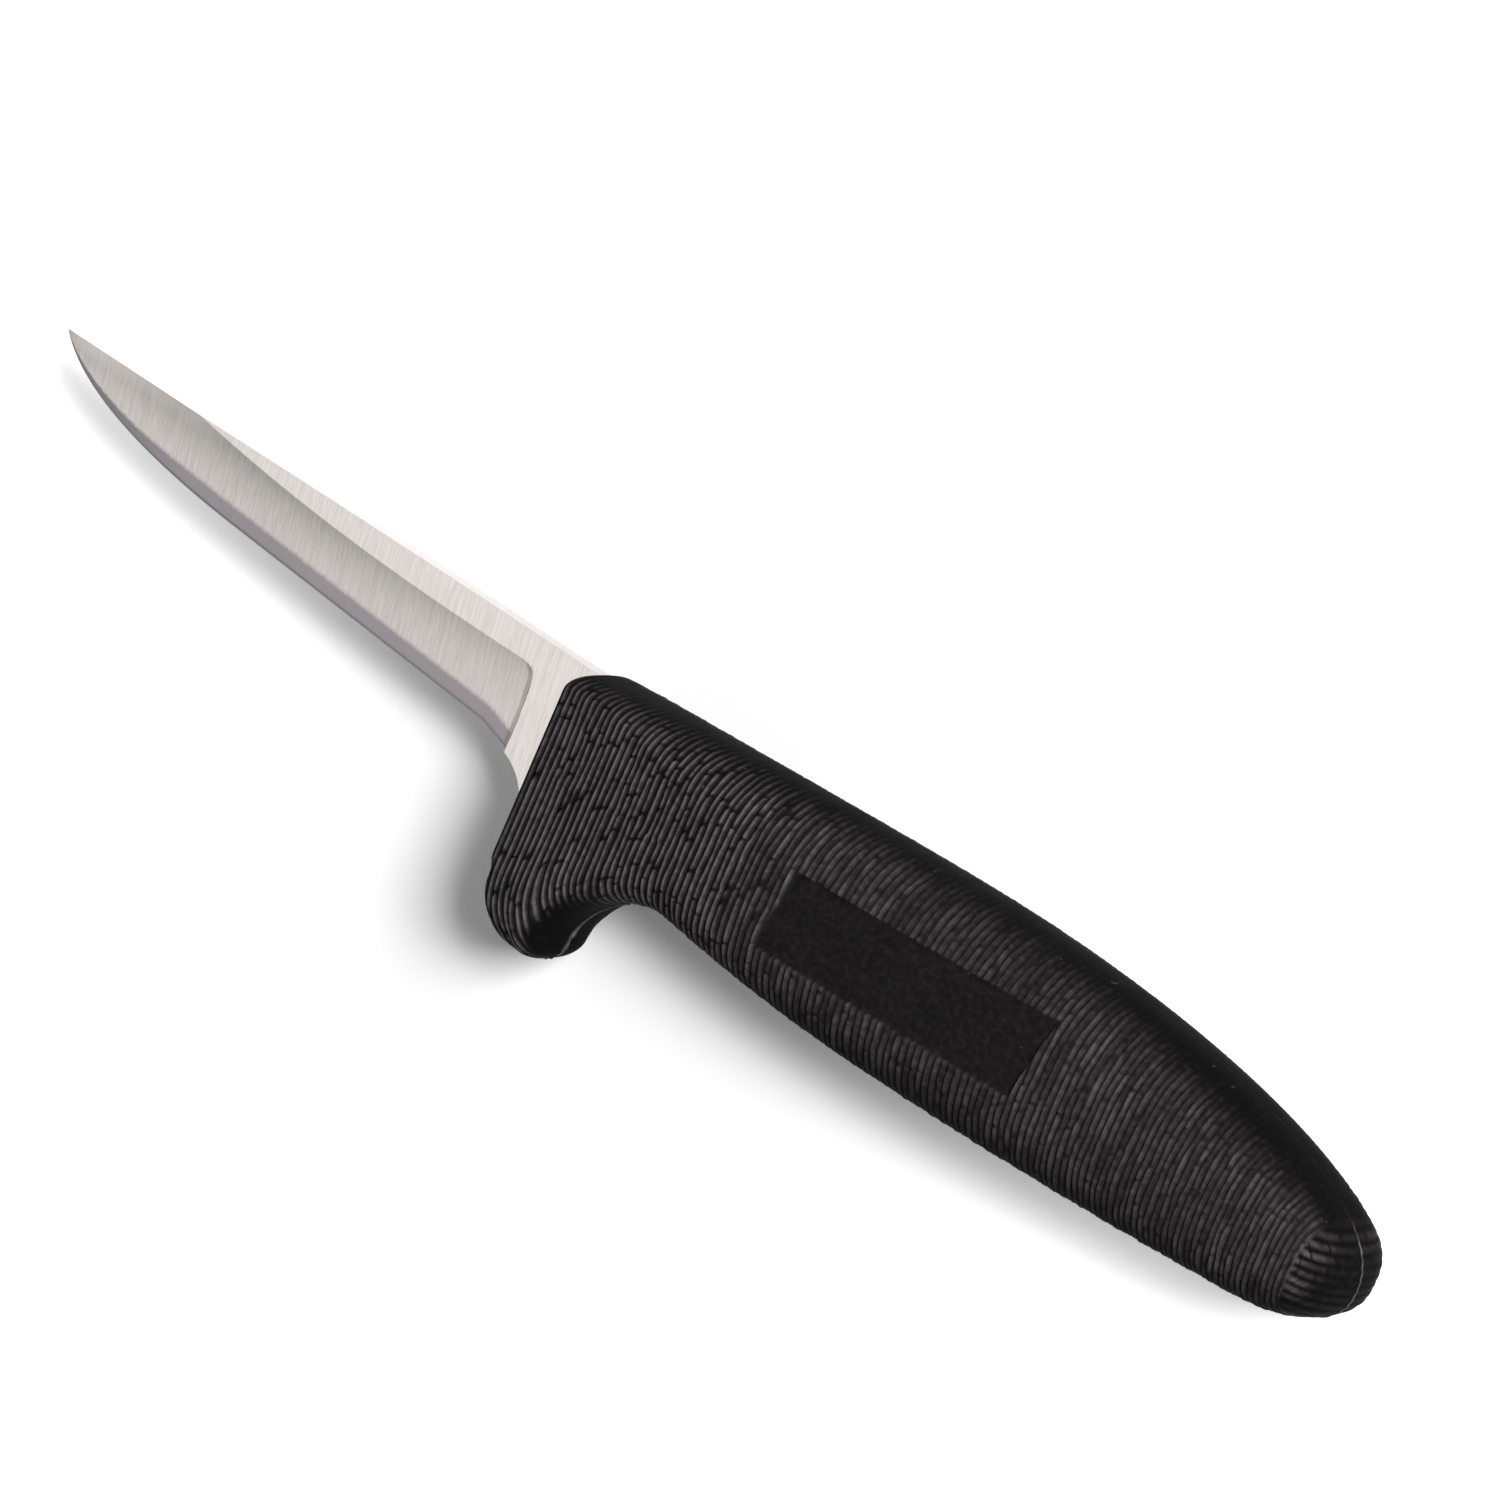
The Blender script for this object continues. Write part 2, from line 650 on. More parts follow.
class KnifeBladeSizes(bpy.types.PropertyGroup):
    spine_chamfer: bpy.props.FloatProperty(
        name="Spine chamfer", description="Small bevel along both corners of the spine",
        default=0.00001, min=0.0, max=0.0004, unit="LENGTH", precision=5,
    )
    brush_lean: bpy.props.FloatProperty(
        name="Brush lean", description="Lean of the brush lines from square across the blade",
        default=math.radians(-7), subtype="ANGLE",
    )
    steel: bpy.props.FloatVectorProperty(
        name="Flat steel", description="Colour of the brushed flats",
        default=(0.60, 0.558, 0.535), size=3, min=0.0, max=1.0, subtype="COLOR",
    )
    hollow: bpy.props.FloatVectorProperty(
        name="Hollow steel", description="Colour of the hollow grind",
        default=(0.50, 0.470, 0.448), size=3, min=0.0, max=1.0, subtype="COLOR",
    )
    bevel: bpy.props.FloatVectorProperty(
        name="Bevel steel", description="Colour of the stoned cutting bevel",
        default=(0.285, 0.258, 0.274), size=3, min=0.0, max=1.0, subtype="COLOR",
    )
    steel_roughness: bpy.props.FloatProperty(
        name="Steel roughness", description="Mean roughness of the brushed steel",
        default=0.30, min=0.0, max=1.0, subtype="FACTOR",
    )


class KnifeHandleSizes(bpy.types.PropertyGroup):
    cord_height: bpy.props.FloatProperty(
        name="Cord height", description="Height of the cords above the grooves between them",
        default=0.00024, min=0.0, max=0.0005, unit="LENGTH", precision=5,
    )
    cord_sway: bpy.props.FloatProperty(
        name="Cord sway", description="How far the cords wander to either side",
        default=0.00013, min=0.0, max=0.0003, unit="LENGTH", precision=5,
    )
    plate_sink: bpy.props.FloatProperty(
        name="Plate sink", description="Depth of the smooth plate below the skin",
        default=0.00032, min=0.0, max=0.0008, unit="LENGTH", precision=5,
    )
    flash_height: bpy.props.FloatProperty(
        name="Flash height", description="Height of the thin moulding flash on the parting line",
        default=0.00012, min=0.0, max=0.0004, unit="LENGTH", precision=5,
    )
    plastic: bpy.props.FloatVectorProperty(
        name="Plastic", description="Colour of the moulded plastic",
        default=(0.0042, 0.0040, 0.0043), size=3, min=0.0, max=1.0, subtype="COLOR",
    )
    worn_plastic: bpy.props.FloatVectorProperty(
        name="Worn plastic", description="Colour of the rubbed tops of the cords",
        default=(0.130, 0.116, 0.122), size=3, min=0.0, max=1.0, subtype="COLOR",
    )
    plastic_roughness: bpy.props.FloatProperty(
        name="Plastic roughness", description="Mean roughness of the plastic",
        default=0.46, min=0.0, max=1.0, subtype="FACTOR",
    )
    seed: bpy.props.IntProperty(
        name="Seed", description="Picks the places where the cords sway and break", default=11, min=0,
    )


class KnifeStageSizes(bpy.types.PropertyGroup):
    floor: bpy.props.FloatVectorProperty(
        name="Floor", description="Colour of the floor",
        default=(0.92, 0.92, 0.92), size=3, min=0.0, max=1.0, subtype="COLOR",
    )
    floor_glow: bpy.props.FloatProperty(
        name="Floor glow", description="White added to the floor for the camera and reflections",
        default=0.13, min=0.0, max=1.0,
    )
    key_power: bpy.props.FloatProperty(
        name="Key power", description="Power of the lamp on the spine side",
        default=83.0, min=0.0, unit="POWER",
    )
    box_power: bpy.props.FloatProperty(
        name="Softbox power", description="Power of the large softbox that the flats mirror",
        default=4.25, min=0.0, unit="POWER",
    )
    fill_power: bpy.props.FloatProperty(
        name="Fill power", description="Power of the low panel beyond the tip",
        default=1.0, min=0.0, unit="POWER",
    )
    room: bpy.props.FloatProperty(
        name="Room light", description="Strength of the even light from all round", default=0.12, min=0.0,
    )
    lens: bpy.props.FloatProperty(
        name="Lens", description="Focal length of the camera", default=202.74, min=1.0, unit="CAMERA",
    )


# Blade

class KNIFE_OT_blade(bpy.types.Operator):
    """Model the hollow-ground blade with its tang"""
    bl_idname = "knife.blade"
    bl_label = "Blade"
    bl_options = {"REGISTER", "UNDO"}

    def execute(self, context):
        sizes = context.scene.knife_blade
        blade = joined(self.ground_skin(sizes), self.tang())
        bpy.ops.object.shade_smooth_by_angle(angle=math.radians(32))
        seat(blade, "ground_blade", "blade", steel_finish(sizes))
        return {"FINISHED"}

    @staticmethod
    def stations():
        """Distances of the cross-sections, close together at the fillet, the plunge and the tip."""
        arc = ROOT_NECK + FILLET_RADIUS * (1 - np.cos(np.linspace(0, FILLET_SWEEP, 26)))
        root = [-ROOT_BURIED, 0.0, 0.6, 1.2, ROOT_NECK - 2e-3]
        plunge = np.arange(PLUNGE - 0.3, PLUNGE + 3.0, 0.075)
        straight = np.arange(PLUNGE + 3.0, BELLY[0], 0.6)
        belly = BELLY[0] + (BLADE_LENGTH - BELLY[0]) * np.sin(np.linspace(0, math.pi / 2, 60))
        return np.unique(np.round(np.concatenate([arc, root, plunge, straight, belly]), 4))

    def ground_skin(self, sizes):
        """Closed skin of the blade, from the spine over one side to the edge and back on the other."""
        along = self.stations()
        chamfer = sizes.spine_chamfer / MM
        flat_rows = np.array([0.0, 0.25, 0.5, 0.75, 0.985])
        hollow_rows = np.concatenate([[0.0, 0.008], np.linspace(0.03, 0.97, 26), [0.99]])
        bevel_rows = np.array([0.0, 0.03, 0.35, 0.7, 0.93, 1.0])
        side = 1 + len(flat_rows) + len(hollow_rows) + len(bevel_rows)
        piece, row, column = laid_grid(len(along), 2 * side + 1)
        ring = np.where(column == 2 * side, 0, column)
        upper = ring < side
        step = np.where(upper, ring, 2 * side - 1 - ring)
        distance = along[row]
        spine = spine_height(distance)
        lowest = np.where(distance > BLADE_LENGTH - 1e-3, 0, edge_depth(distance))
        corner = np.minimum(chamfer, 0.2 * (spine + lowest))
        line = np.clip(grind_top(distance), -spine + corner, None)
        bevel_line = np.maximum(lowest - bevel_width(distance), line)
        bevel_line = np.where(distance < PLUNGE, mix(line, lowest, 0.8), bevel_line)
        shares = np.concatenate([[0.0], flat_rows, hollow_rows, bevel_rows])[step]
        flat_end = 1 + len(flat_rows)
        hollow_end = flat_end + len(hollow_rows)
        zones = [step == 0, step < flat_end, step < hollow_end]
        depth = np.select(zones, [
            -spine,
            mix(-spine + corner, line, shares),
            mix(line, bevel_line, shares),
        ], mix(bevel_line, lowest, shares))
        half = ground_half(distance, np.minimum(depth, lowest))
        half = np.where(step == 0, np.maximum(half - corner, 0.3 * half), half)
        half = half * ease(BLADE_LENGTH - distance, -0.05, 0.25)
        hollow_mark = mix(IN_HOLLOW, ON_SHOULDER, ease(shares, 0.88, 1.0))
        bevel_mark = ON_SHOULDER + 0.5 * ease(shares, 0, 0.25) + ease(shares, 0.72, 0.95)
        ground = np.select(zones, [ON_SPINE, ON_FLAT, hollow_mark], bevel_mark)
        ground = np.where((half > BLADE_HALF - 0.004) & (step > 0), ON_FLAT, ground)
        drape(piece, np.stack([-distance, -depth, np.where(upper, half, -half)], 1))
        mark(piece, "ground", ground)
        close_skin(piece, 4e-7)
        return piece

    @staticmethod
    def tang():
        """Tapered plate with a rounded end that runs on inside the handle."""
        bpy.ops.mesh.primitive_cube_add(size=1)
        piece = bpy.context.active_object
        corners = read(piece.data.vertices, "co", 3)
        rear = corners[:, 0] > 0
        top = corners[:, 1] > 0
        x = np.where(rear, TANG_LENGTH, -ROOT_BURIED)
        middle = np.where(rear, -TANG_END_DEPTH, -TANG_TOP - TANG_HEIGHT / 2)
        height = np.where(rear, TANG_END_HEIGHT, TANG_HEIGHT)
        y = middle + np.where(top, height, -height) / 2
        drape(piece, np.stack([x, y, 2 * TANG_HALF * corners[:, 2]], 1))
        bpy.ops.object.mode_set(mode="EDIT")
        bpy.ops.mesh.select_mode(type="EDGE")
        bpy.ops.mesh.select_all(action="DESELECT")
        bpy.ops.object.mode_set(mode="OBJECT")
        for edge in piece.data.edges:
            ends = list(edge.vertices)
            edge.select = bool(rear[ends].all() and np.ptp(corners[ends, 2]) > 0)
        bpy.ops.object.mode_set(mode="EDIT")
        bpy.ops.mesh.bevel(offset=0.48 * TANG_END_HEIGHT * MM, segments=10, affect="EDGES")
        bpy.ops.mesh.select_all(action="SELECT")
        bpy.ops.mesh.normals_make_consistent(inside=False)
        bpy.ops.object.mode_set(mode="OBJECT")
        mark(piece, "ground", np.full(len(piece.data.vertices), ON_FLAT))
        return piece


# Handle

class KNIFE_OT_handle(bpy.types.Operator):
    """Model the moulded handle with its cords, smooth plate and parting line"""
    bl_idname = "knife.handle"
    bl_label = "Handle"
    bl_options = {"REGISTER", "UNDO"}

    def execute(self, context):
        sizes = context.scene.knife_handle
        self.shares = self.column_shares()
        self.half_ring = np.concatenate([self.shares, self.shares[::-1][1:]])
        self.chance = np.random.default_rng(sizes.seed)
        skin = self.body(sizes)
        body = joined(skin, self.butt(sizes))
        close_skin(body, 1.5e-6)
        self.raise_cords(body)
        bpy.ops.object.shade_smooth_by_angle(angle=math.radians(60))
        seat(body, "corded_handle", "handle", plastic_finish(sizes))
        return {"FINISHED"}

    @staticmethod
    def plate_lines():
        """Heights of the plate's upper and lower lines."""
        return -PLATE_DEPTH + PLATE_HEIGHT / 2, -PLATE_DEPTH - PLATE_HEIGHT / 2

    @staticmethod
    def line_share(line, x, rim):
        """Share of the way from the fan's centre line to an outline at which a plate line lies."""
        return 2 / math.pi * np.arcsin(np.clip((line - FAN_Y) / (rim(x) - FAN_Y), 0, 1))

    def column_shares(self):
        """Shares of the columns from the side's middle to the parting line, alike above and below."""
        even = np.linspace(0, 1, QUARTER_STEPS + 1)
        upper, lower = self.plate_lines()
        self.upper_at = float(self.line_share(upper, np.array(PLATE_AT), handle_top))
        self.lower_at = float(self.line_share(lower, np.array(PLATE_AT), handle_under))
        walls = [self.upper_at - PLATE_WALLS[0], self.lower_at - PLATE_WALLS[1]]
        lines = [self.upper_at, self.lower_at] + walls
        kept = [share for share in even if min(abs(share - line) for line in lines) > COLUMN_GAP]
        return np.sort(np.array(kept + lines + [1 - 0.2 / QUARTER_STEPS]))

    def snapped(self, share, x, above):
        """Shares moved so that one column runs along the plate's straight line."""
        upper, lower = self.plate_lines()
        halves = ((above, self.upper_at, upper, handle_top), (~above, self.lower_at, lower, handle_under))
        near = 1 - ease(np.abs(x - PLATE_AT), *PLATE_SNAP)
        moved = share.copy()
        for half, at, height, rim in halves:
            wanted = mix(at, self.line_share(height + PLATE_TILT * (x - PLATE_AT), x, rim), near)
            inner = share * wanted / at
            outer = 1 - (1 - share) * (1 - wanted) / (1 - at)
            moved = np.where(half, np.where(share <= at, inner, outer), moved)
        return moved

    def rows(self):
        """Places of the rows, the same number to each cord, with more where the outline turns."""
        count = round(float(self.cord_phase(np.array(FAN_X))))
        fine = np.linspace(0, FAN_X, PHASE_POINTS)
        wanted = np.arange(ROWS_PER_CORD, ROWS_PER_CORD * count + 1) / ROWS_PER_CORD
        cords = np.interp(wanted, self.cord_phase(fine), fine)
        cords = cords[cords > FRONT_EDGE + 0.04]
        edge = FRONT_EDGE * (1 - np.cos(np.linspace(0, math.pi / 2, 10)))
        turn = GUARD_THICKNESS + np.array([-0.12, -0.06, -0.02, 0.0, 0.02, 0.05, 0.1])
        every = np.unique(np.round(np.concatenate([edge, cords, turn]), 5))
        return every[np.concatenate([[True], np.diff(every) > 0.008])]

    @staticmethod
    def cord_phase(x):
        """Number of cords from the front face to a place, whole at the fan's centre."""
        fine = np.linspace(0, FAN_X, PHASE_POINTS)
        rate = 1 / np.interp(fine, CORD_PITCH_AT, CORD_PITCH)
        run = np.concatenate([[0], np.cumsum((rate[1:] + rate[:-1]) / 2 * np.diff(fine))])
        return np.interp(x, fine, run * round(run[-1]) / run[-1])

    def wander(self, rows, columns):
        """Smooth seeded noise over cords and columns, about -1 to 1."""
        run = WANDER_RUN
        raw = self.chance.normal(size=(rows, columns + 8 * run))
        weight = np.exp(-0.5 * (np.arange(-3 * run, 3 * run + 1) / run) ** 2)
        weight /= math.sqrt((weight ** 2).sum())
        smooth = np.array([np.convolve(line, weight, "same") for line in raw])
        return np.clip(smooth[:, 4 * run:4 * run + columns] / 1.6, -1, 1)

    def broken(self, rows, columns):
        """Short breaks along each cord, 1 where the cord is gone."""
        gone = np.zeros((rows, columns + 4))
        for line in gone:
            place = self.chance.uniform(0, 20)
            while place < columns:
                start = int(place)
                depth = self.chance.uniform(0.3, 1.0)
                line[start + 1] = max(line[start + 1], depth)
                line[start + 2] = max(line[start + 2], depth * self.chance.uniform(-0.6, 0.5))
                place += self.chance.uniform(5, 28)
        return gone[:, 1:columns + 1]

    @staticmethod
    def cord_lift(phase, gone, swell):
        """Rounded cord, from 0 in the groove to 1 on its top."""
        off = 2 * np.abs(phase - np.rint(phase))
        return (1 - off ** CORD_ROUND) * (1 - CORD_BREAK * gone) * (1 + CORD_SWELL * swell)

    @staticmethod
    def wear(tops, crown):
        """How worn a cord is, from 0 in the groove to 1 on its top, narrower with a higher crown."""
        return np.clip((tops - WEAR_FROM) / WEAR_RUN, 0, 1) ** crown

    def body(self, sizes):
        """Skin from the front face to the fan's centre, as cross-sections along the handle."""
        along = self.rows()
        phase = self.cord_phase(along)
        cords = round(float(phase[-1])) + 2
        count = len(self.shares)
        ring = np.concatenate([self.half_ring, self.half_ring[1:]])
        columns = len(ring)
        piece, row, column = laid_grid(len(along), columns)
        sway = self.wander(cords, columns)
        swell = self.wander(cords, columns)
        gone = self.broken(cords, columns)
        for noise in (sway, swell, gone):
            noise[:, -1] = noise[:, 0]
        nearest = np.clip(np.rint(phase[row]).astype(int), 0, cords - 1)
        skin = SimpleNamespace(
            along=along[row], phase=phase[row], ring=ring[column],
            above=column <= 2 * count - 2,
            near=(column < count) | (column > columns - count),
            gone=gone[nearest, column], swell=swell[nearest, column],
        )
        x = along[:, None] + self.swayed(along, phase, sway) * sizes.cord_sway / MM
        self.lay(skin, x[row, column])
        drape(piece, np.stack([skin.x, skin.y, np.where(skin.near, skin.z, -skin.z)], 1))
        standing = self.standing(skin)
        on_plate = self.on_plate(skin)
        flash = self.flash(skin)
        lift = self.cord_lift(skin.phase, skin.gone, skin.swell)
        cord = sizes.cord_height * (lift - CORD_MEAN) * standing * (1 - ease(skin.x, FAN_X - 0.5, FAN_X))
        mark(piece, "lift", mix(cord, -sizes.plate_sink, on_plate) + flash * sizes.flash_height)
        mark(piece, "cord", mix(self.worn(skin, standing), PLATE_WEAR, on_plate))
        mark(piece, "seam", flash)
        return piece

    @staticmethod
    def swayed(along, phase, sway):
        """Wander of the rows, which is still at both ends and small behind the guard."""
        low = np.clip(np.floor(phase).astype(int), 0, len(sway) - 2)
        wandered = mix(sway[low], sway[low + 1], (phase - low)[:, None])
        free = ease(along, 1.0, 4.0) * (1 - ease(along, FAN_X - 4, FAN_X - 1))
        guard = 1 - 0.8 * (ease(along, 7.6, 9.0) * (1 - ease(along, 10.6, 12.5)))
        return wandered * free[:, None] * guard[:, None]

    def lay(self, skin, x):
        """Places the skin's points, in rows that hook into the guard's rear edge."""
        hook = np.where(skin.above, 0, np.interp(x, HOOK_AT, HOOK))
        end_x = x + hook
        x = x + hook * ease(skin.ring, *HOOK_SHARE)
        skin.share = self.snapped(skin.ring, x, skin.above)
        rim = np.where(skin.above, handle_top(x) - front_inset(x), handle_under(end_x) + front_inset(end_x))
        skin.y = FAN_Y + np.sin(skin.share * math.pi / 2) * (rim - FAN_Y)
        toe = np.linspace(0, TOE_RUN, 200)
        skin.x = np.maximum(x, np.interp(-skin.y, -handle_under(toe), toe))
        skin.z = np.where(on_seam(skin.ring), 0, handle_reach(skin.x, skin.y))

    @staticmethod
    def standing(skin):
        """Share of the cords' height that is left towards the spine, in the finger rest and below."""
        fade_from = mix(*SPINE_FADE, ease(skin.x, *SPINE_FADE_AT))
        spine = np.where(skin.above, ease(skin.share, fade_from, fade_from + SPINE_FADE_RUN), 0)
        rest = ease(skin.x, 9.0, 9.9) * (1 - ease(skin.x, 11.5, 13.5))
        rest = rest * np.where(skin.above, 0, ease(skin.share, 0.75, 0.9))
        belly = np.where(skin.above, 0, ease(skin.share, 0.68, 0.98))
        return (1 - spine) * (1 - 0.7 * rest) * (1 - 0.3 * belly) * ease(skin.along, 0.35, 1.1)

    def worn(self, skin, standing):
        """How worn the cords are, in thin lines at the front and with a grey haze behind."""
        front = 1 - ease(skin.x, *FRONT_FADE)
        even = self.cord_lift(skin.phase, skin.gone, skin.swell * (1 - 0.7 * front))
        tops = mix(WEAR_FROM, np.clip(even, 0, CORD_TOP), np.interp(skin.x, TONE_AT, TONE))
        worn = self.wear(tops, mix(REAR_CROWN, FRONT_CROWN, front)) * mix(REAR_WEAR, 1, front)
        dulled = 0.8 * ease(skin.share, 0.27, 0.8) * ease(skin.x, 18, 46)
        rubbed = 1 - np.where(skin.above, 0.4 * ease(skin.share, 0.25, 0.8), dulled)
        return (worn + HAZE * ease(skin.x, *HAZE_RUN)) * standing * rubbed

    @staticmethod
    def flash(skin):
        """Share of the moulding flash's height, on the parting line only."""
        flash = np.where(skin.above, 0.04, np.where(skin.x < REST_END, 1.0, 0.4)) * ease(skin.x, 0.6, 1.6)
        flash = np.maximum(flash, np.where(skin.above, 0, ease(skin.x, FAN_X - 8, FAN_X - 2)))
        return np.where(on_seam(skin.ring), flash, 0)

    def on_plate(self, skin):
        """1 on the smooth plate of the upper side and 0 off it."""
        lean = PLATE_RAKE * (skin.y + PLATE_DEPTH - PLATE_TILT * (skin.x - PLATE_AT)) / PLATE_HEIGHT
        along = np.abs(skin.x - PLATE_AT - lean) - PLATE_LENGTH / 2
        ends = 1 - ease(along, -PLATE_END, PLATE_END)
        inside = skin.ring < np.where(skin.above, self.upper_at, self.lower_at) - PLATE_WALLS[0] / 2
        return ends * inside * skin.near

    @staticmethod
    def butt_rim(share):
        """Angle and distance, from the fan's centre, of a point at a share of the butt's outline."""
        x = HANDLE_LENGTH - (HANDLE_LENGTH - FAN_X) * np.linspace(1, 0, 400) ** 2
        rim_x = np.concatenate([x, x[::-1]])
        rim_y = np.concatenate([handle_top(x), handle_under(x)[::-1]])
        angles = np.arctan2(rim_x - FAN_X, rim_y - FAN_Y)
        steps = np.hypot(np.diff(rim_x), np.diff(rim_y))
        run = np.concatenate([[0], np.cumsum(steps)]) / steps.sum()
        angle = np.interp(share, run, angles)
        return angle, np.interp(angle, angles, np.hypot(rim_x - FAN_X, rim_y - FAN_Y))

    def butt(self, sizes):
        """Rounded butt, with rows that fan out from the centre and columns over its rim."""
        columns = len(self.half_ring)
        piece, row, column = laid_grid(FAN_ROWS, columns)
        angle, radius = self.butt_rim(row / (FAN_ROWS - 1))
        share = self.half_ring[column]
        out = np.sin(share * math.pi / 2) * radius
        x = FAN_X + out * np.sin(angle)
        y = FAN_Y + out * np.cos(angle)
        z = np.where(on_seam(share), 0, handle_reach(x, y))
        near = column < len(self.shares)
        drape(piece, np.stack([x, y, np.where(near, z, -z)], 1))
        phase = (y - FAN_Y) / END_CORD_PITCH
        nearest = np.rint(phase).astype(int) + END_CORDS // 2
        gone = self.broken(END_CORDS, columns)
        swell = self.wander(END_CORDS, columns)
        past = x - FAN_X
        ends = ease(past, 0.0, 0.4)
        lift = mix(0.9, self.cord_lift(phase, gone[nearest, column], swell[nearest, column]), ends)
        flash = np.where(on_seam(share), 1 - 0.96 * ease(y, -7.5, -5), 0)
        height = sizes.cord_height * (lift - CORD_MEAN) * END_RELIEF * ends
        tops = mix(0.7, np.clip(lift, 0, CORD_TOP), 0.6)
        tone = 0.06 + (1 - ease(past, 0.8, 3.0)) * (1 - ease(np.abs(y - FAN_Y + 0.6), 1.6, 4.4))
        mark(piece, "lift", height + flash * sizes.flash_height)
        mark(piece, "cord", self.wear(tops, REAR_CROWN) * REAR_WEAR * tone)
        mark(piece, "seam", flash)
        return piece

    @staticmethod
    def raise_cords(piece):
        """Moves every vertex along its normal by the height kept on it, less where the skin is steep."""
        mesh = piece.data
        places = read(mesh.vertices, "co", 3)
        normals = read(mesh.vertex_normals, "vector", 3)
        lift, cord, seam = (read(mesh.attributes[name].data, "value") for name in ("lift", "cord", "seam"))
        along = (places[:, 0] - DATUM[0]) / MM
        steep = np.maximum(ease(normals[:, 0], 0.3, 0.75), ease(-normals[:, 0], 0.6, 0.95))
        steep = steep * (along < REST_END + 4) * (seam < 0.05)
        raised = places + normals * (lift * (1 - steep))[:, None]
        mesh.vertices.foreach_set("co", raised.astype(np.float32).ravel())
        tops = np.maximum(cord * (1 - steep), SEAM_WEAR * seam)
        mesh.attributes["cord"].data.foreach_set("value", tops.astype(np.float32))
        for name in ("lift", "seam"):
            mesh.attributes.remove(mesh.attributes[name])
        mesh.update()


# Stage

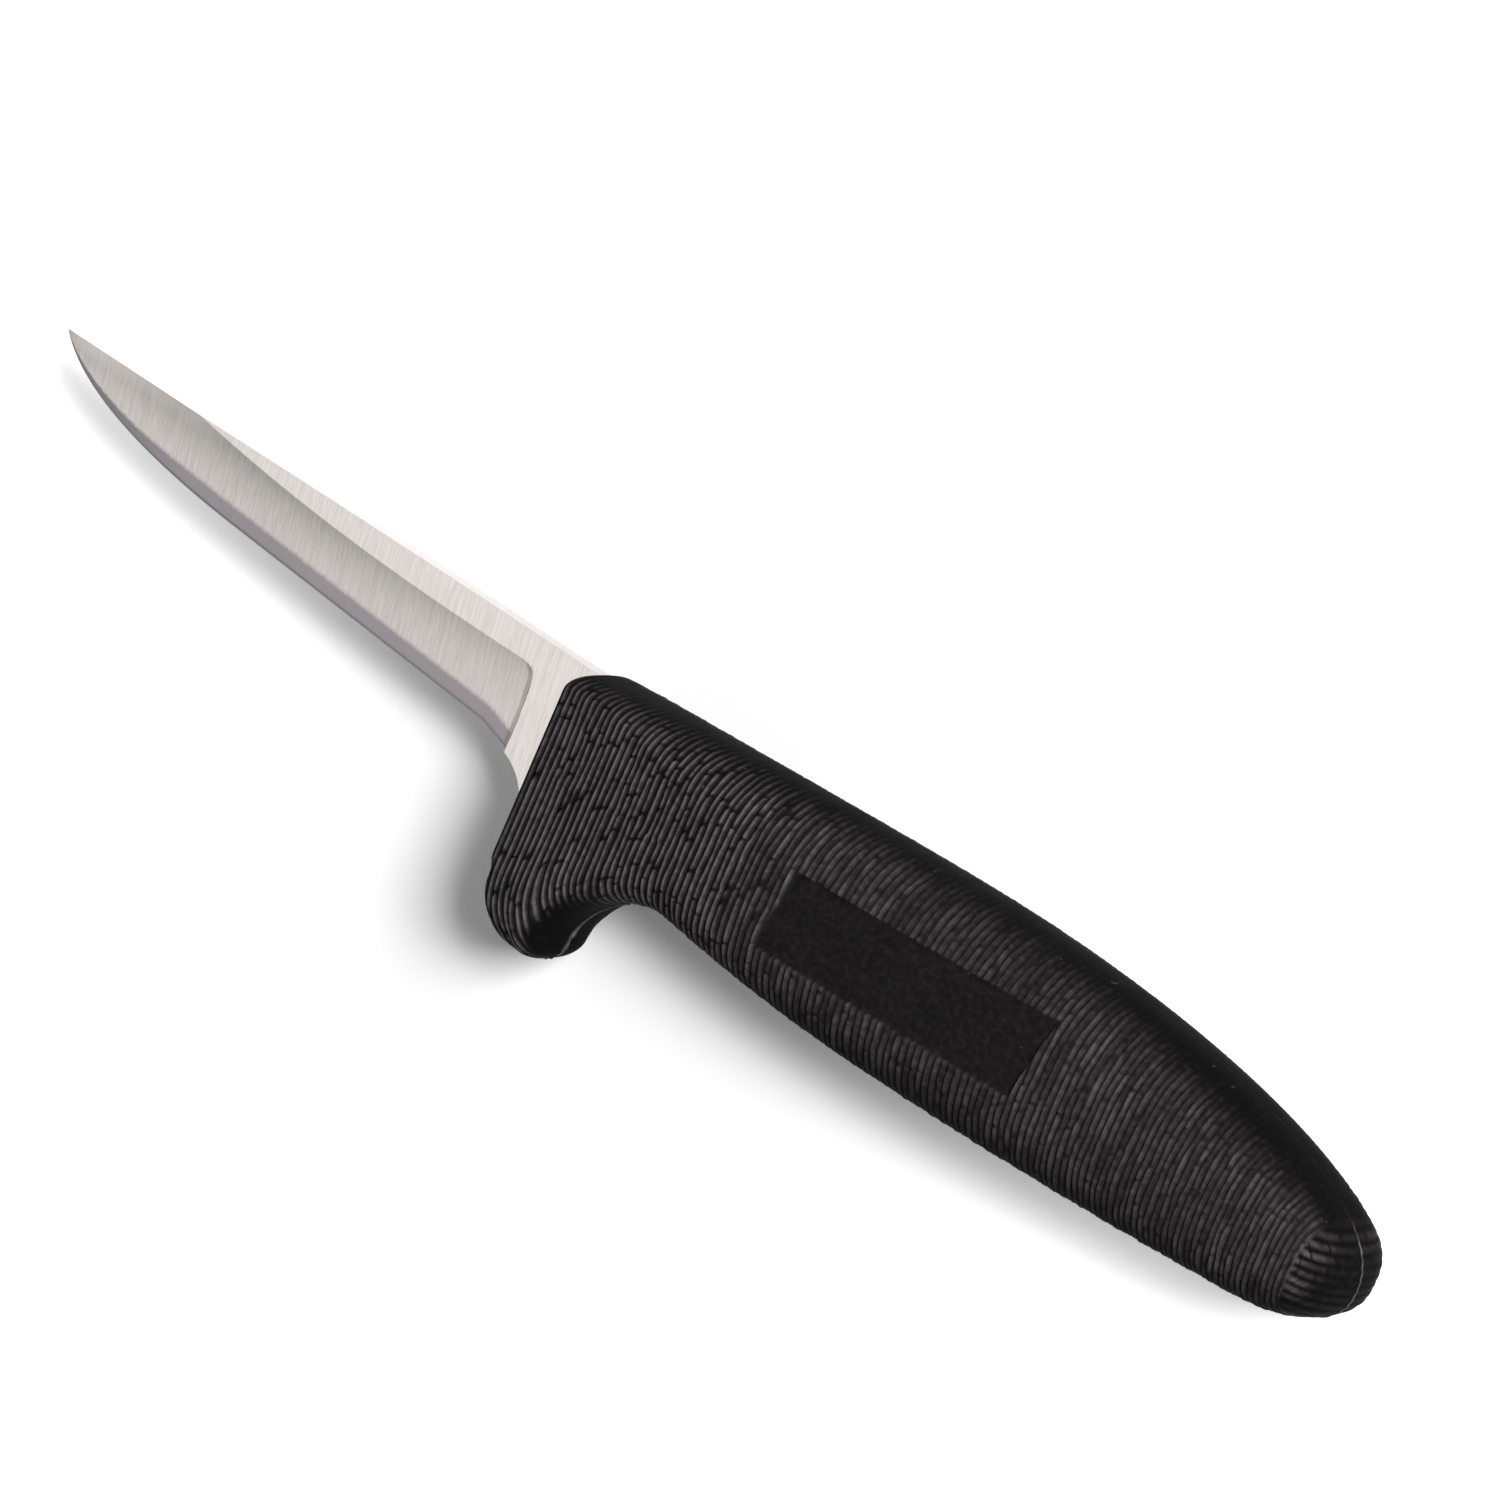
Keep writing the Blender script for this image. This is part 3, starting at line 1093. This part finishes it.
class KNIFE_OT_stage(bpy.types.Operator):
    """Set up the pale floor, the lamps, the room light and the camera"""
    bl_idname = "knife.stage"
    bl_label = "Stage"
    bl_options = {"REGISTER", "UNDO"}

    def execute(self, context):
        sizes = context.scene.knife_stage
        self.floor(sizes)
        middle = Vector((CAD_LOW + CAD_HIGH) / 2)
        self.lamp("key_lamp", middle, (0.666, 0.436, 0.605), 2.4, (0.74, 0.74), sizes.key_power)
        softbox = self.lamp("softbox", middle, (-0.44, -0.18, 0.88), 1.0, (1.1, 0.9), sizes.box_power)
        fill = self.lamp("side_fill", middle, (-0.93, -0.25, 0.26), 1.0, (0.8, 0.5), sizes.fill_power)
        for soft in (softbox, fill):
            soft.data.use_shadow = False
            soft.visible_diffuse = False
        self.room_light(context, sizes)
        self.camera(context, sizes)
        context.scene.view_settings.view_transform = "Standard"
        return {"FINISHED"}

    @staticmethod
    def floor(sizes):
        """Wide round floor just under the lowest cords."""
        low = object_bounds()[0]
        bpy.ops.mesh.primitive_circle_add(
            vertices=96, radius=FLOOR_RADIUS, fill_type="NGON", location=(0, 0, low.z - FLOOR_GAP),
        )
        floor = bpy.context.active_object
        bpy.ops.object.transform_apply(location=True, rotation=True, scale=True)
        floor.name = "studio_floor"
        floor.data.materials.append(floor_finish(sizes))
        floor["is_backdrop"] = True

    @staticmethod
    def lamp(name, target, direction, distance, size, power):
        """Rectangular lamp that faces a target from a direction."""
        aim = Vector(direction).normalized()
        bpy.ops.object.light_add(type="AREA", location=target + aim * distance)
        lamp = bpy.context.active_object
        lamp.name = name
        lamp.data.shape = "RECTANGLE"
        lamp.data.size, lamp.data.size_y = size
        lamp.data.energy = power
        lamp.rotation_mode = "QUATERNION"
        lamp.rotation_quaternion = aim.to_track_quat("Z", "Y")
        return lamp

    @staticmethod
    def room_light(context, sizes):
        """Even grey light from all round, paler at the horizon behind the floor."""
        world = context.scene.world or bpy.data.worlds.new("studio_room")
        context.scene.world = world
        tree = Tree(world)
        direction = tree.node("ShaderNodeTexCoord", output="Generated")
        height = tree.node("ShaderNodeSeparateXYZ", None, {"Vector": direction}, "Z")
        pale = 1 - tree.mask(height, 0.0, 0.08)
        strength = sizes.room + pale * (HORIZON - sizes.room)
        glow = tree.node(
            "ShaderNodeBackground", None, {"Color": (1.0, 1.0, 1.0, 1.0), "Strength": strength},
        )
        tree.node("ShaderNodeOutputWorld", None, {"Surface": glow})

    @staticmethod
    def camera(context, sizes):
        """Camera that looks down on the knife at a slant."""
        bpy.ops.object.camera_add()
        camera = bpy.context.active_object
        camera.name = "photo_camera"
        turned = Matrix.Rotation(CAMERA_TURN, 4, "Z") @ Matrix.Rotation(CAMERA_TILT, 4, "Y")
        place = Matrix.Translation(Vector(CAMERA_PLACE) * MM)
        camera.matrix_world = Matrix.Translation(Vector(DATUM)) @ turned @ place
        camera.data.sensor_width = 36
        camera.data.lens = sizes.lens
        camera.data.clip_start = 0.01
        camera.data.clip_end = 50
        context.scene.camera = camera


class KNIFE_PT_panel(bpy.types.Panel):
    """Sizes, colours and steps of the knife"""
    bl_idname = "KNIFE_PT_panel"
    bl_label = "Vent knife"
    bl_space_type = "VIEW_3D"
    bl_region_type = "UI"
    bl_category = "Knife"

    def draw(self, context):
        scene = context.scene
        steps = (
            (scene.knife_blade, KNIFE_OT_blade),
            (scene.knife_handle, KNIFE_OT_handle),
            (scene.knife_stage, KNIFE_OT_stage),
        )
        for sizes, step in steps:
            box = self.layout.box()
            for name in sizes.bl_rna.properties.keys():
                if name not in ("rna_type", "name"):
                    box.prop(sizes, name)
            box.operator(step.bl_idname)


GROUPS = {"knife_blade": KnifeBladeSizes, "knife_handle": KnifeHandleSizes, "knife_stage": KnifeStageSizes}
CLASSES = (*GROUPS.values(), KNIFE_OT_blade, KNIFE_OT_handle, KNIFE_OT_stage, KNIFE_PT_panel)


def register():
    for item in CLASSES:
        bpy.utils.register_class(item)
    for name, group in GROUPS.items():
        setattr(bpy.types.Scene, name, bpy.props.PointerProperty(type=group))


def unregister():
    for name in GROUPS:
        delattr(bpy.types.Scene, name)
    for item in reversed(CLASSES):
        bpy.utils.unregister_class(item)


def main():
    register()
    bpy.ops.knife.blade()
    bpy.ops.knife.handle()
    bpy.ops.knife.stage()


if __name__ == "__main__":
    main()
